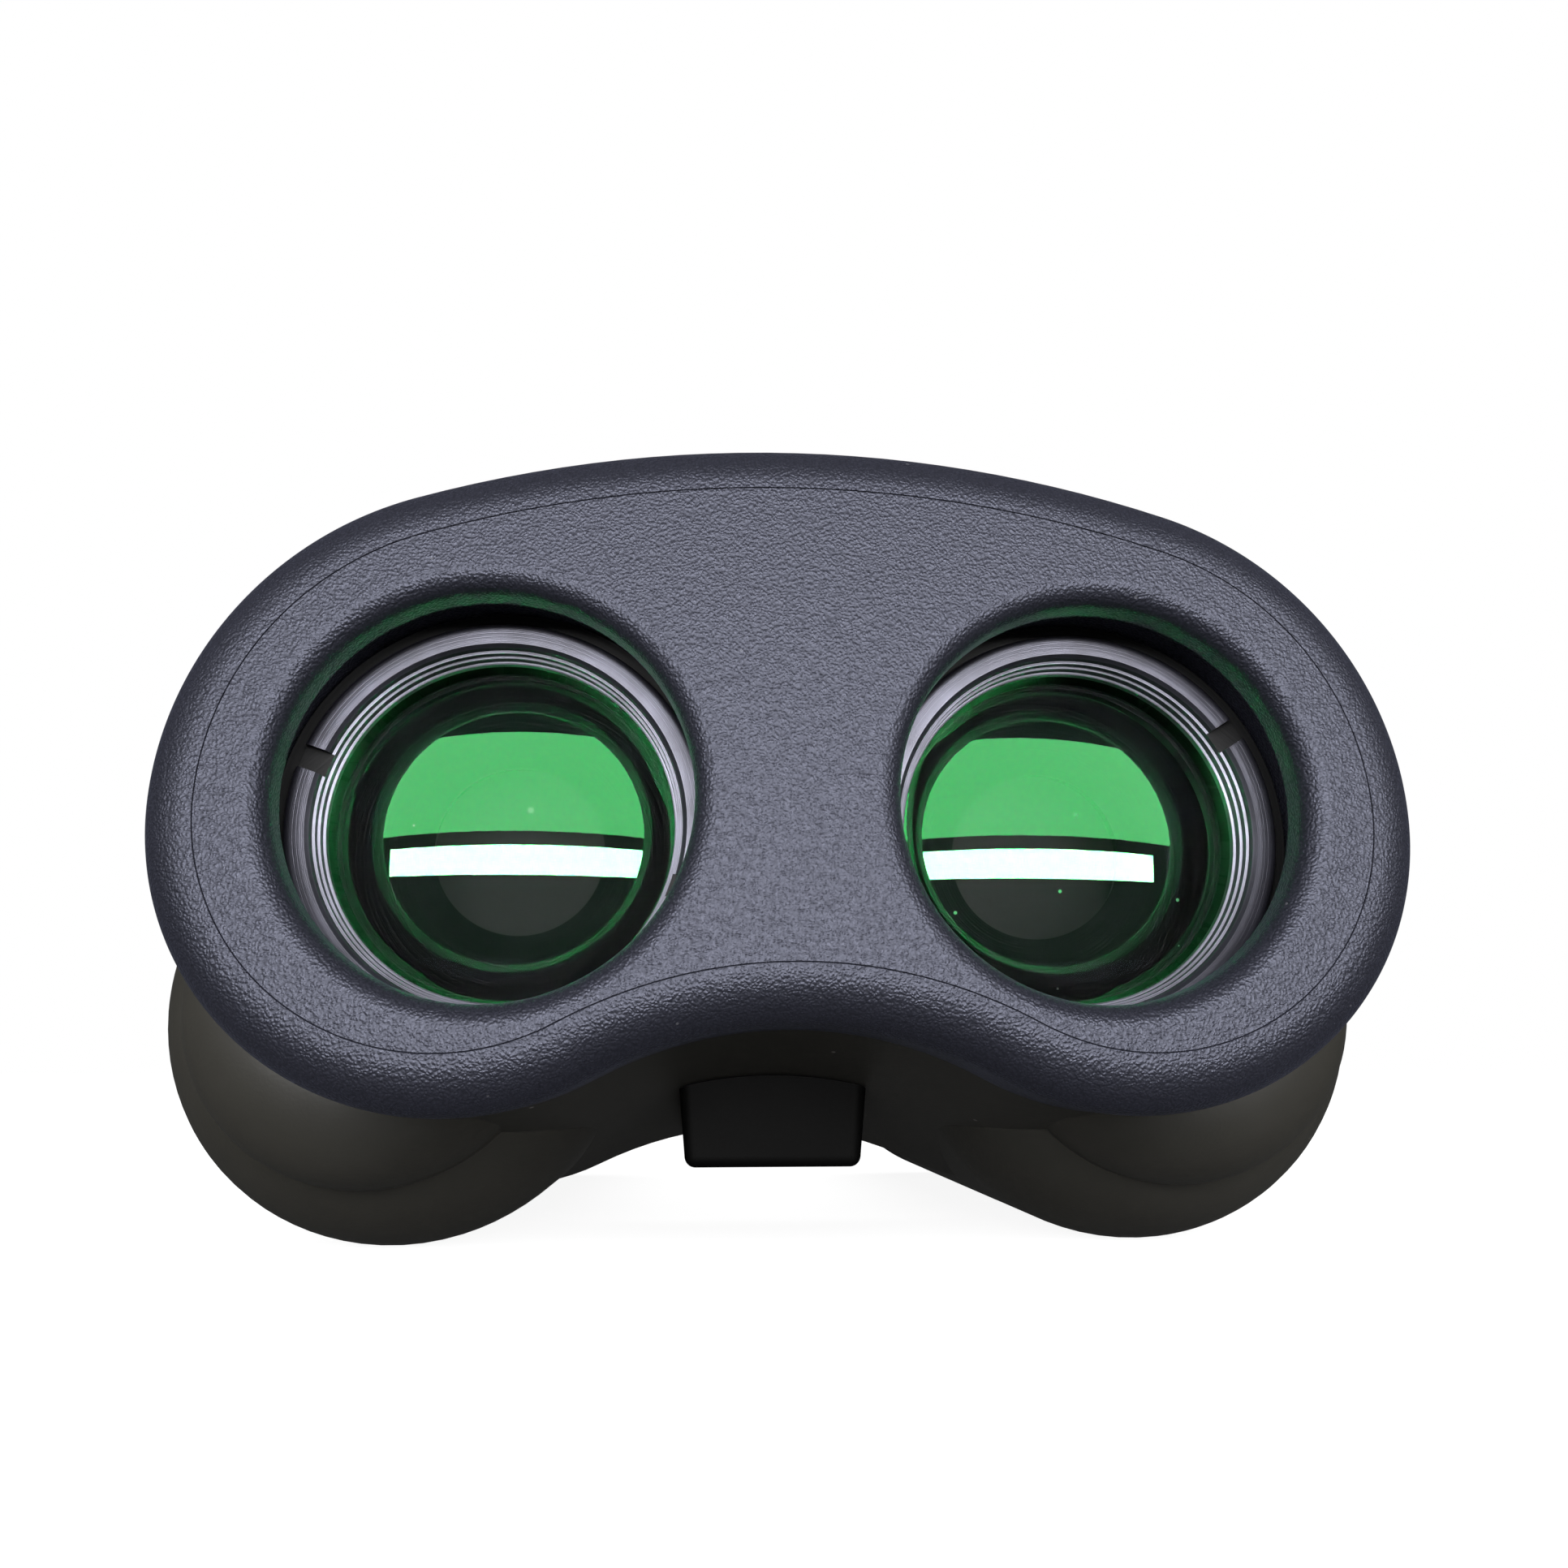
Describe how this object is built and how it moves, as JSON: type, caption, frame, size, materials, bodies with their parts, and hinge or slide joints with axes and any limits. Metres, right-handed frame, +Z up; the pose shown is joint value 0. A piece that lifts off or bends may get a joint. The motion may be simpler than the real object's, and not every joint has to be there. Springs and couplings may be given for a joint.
{
  "type": "coin operated binocular head",
  "caption": "Optical head of a coin operated viewer: moulded face pad with two eye wells, cast prism housing, two objective barrels, coin shutter and mounting block.",
  "frame": {"origin": "on the standing surface under the barrels, midway between them and midway along the head", "axes": "+X to the viewer's right, +Y the way the viewer looks, +Z up"},
  "size_m": [0.167, 0.18, 0.093],
  "materials": {
    "bearing_brass": "turned",
    "black_anodised": "fine turned, black anodised",
    "blade_black": "matt black",
    "block_paint": "smooth satin dark grey",
    "coated_glass": "polished, green anti-reflection coating",
    "coil_winding": "enamelled copper wire under tape",
    "gland_plastic": "moulded nylon",
    "hood_rubber": "matt moulded",
    "housing_paint": "smooth satin dark grey",
    "hub_brass": "turned",
    "matt_anodised": "matt black anodised",
    "pad_rubber": "fine leather grain, matt",
    "pillar_brass": "turned",
    "plate_aluminium": "machined",
    "prism_glass": "polished faces, ground sides",
    "screw_steel": "blackened socket screws",
    "seal_rubber": "satin",
    "shaft_steel": "ground",
    "spring_steel": "rolled strip",
    "zinc_steel": "zinc plated"
  },
  "bodies": {
    "head": {"block_screws": "screw_steel", "cable_gland": "gland_plastic", "chassis_pillars": "pillar_brass", "crown_lens_left": "coated_glass", "crown_lens_right": "coated_glass", "eye_lens_left": "coated_glass", "eye_lens_right": "coated_glass", "eye_lens_ring_left": "black_anodised", "eye_lens_ring_right": "black_anodised", "eyepiece_barrel_left": "matt_anodised", "eyepiece_barrel_right": "matt_anodised", "eyepiece_locknut_left": "matt_anodised", "eyepiece_locknut_right": "matt_anodised", "face_pad": "pad_rubber", "far_prism_left": "prism_glass", "far_prism_right": "prism_glass", "far_prism_strap_left": "spring_steel", "far_prism_strap_right": "spring_steel", "field_lens_left": "coated_glass", "field_lens_right": "coated_glass", "field_stop_ring_left": "matt_anodised", "field_stop_ring_right": "matt_anodised", "flint_lens_left": "coated_glass", "flint_lens_right": "coated_glass", "front_plate": "plate_aluminium", "front_plate_screws": "screw_steel", "gland_nut": "gland_plastic", "housing": "housing_paint", "lens_spacer_left": "matt_anodised", "lens_spacer_right": "matt_anodised", "mounting_block": "block_paint", "near_prism_left": "prism_glass", "near_prism_right": "prism_glass", "near_prism_strap_left": "spring_steel", "near_prism_strap_right": "spring_steel", "objective_barrel_left": "housing_paint", "objective_barrel_right": "housing_paint", "objective_hood_left": "hood_rubber", "objective_hood_right": "hood_rubber", "objective_ring_left": "black_anodised", "objective_ring_right": "black_anodised", "objective_seal_left": "seal_rubber", "objective_seal_right": "seal_rubber", "prism_plate": "plate_aluminium", "prism_plate_screws": "screw_steel", "solenoid_cap": "bearing_brass", "solenoid_case": "zinc_steel", "solenoid_coil": "coil_winding", "solenoid_screws": "screw_steel", "strap_screws": "screw_steel"},
    "shutter": {"shutter_rotor": "shaft_steel", "shutter_hub": "hub_brass", "shutter_blade": "blade_black", "shutter_screws": "screw_steel"}
  },
  "joints": [
    {"name": "shutter_swing", "type": "hinge", "parent": "head", "child": "shutter", "pos_m": [0, -0.05, 0.0505], "axis": [0, -1, 0], "range_deg": [0, 32], "stiffness_Nm_per_rad": 0.0008, "springref_deg": -20.05}
  ]
}
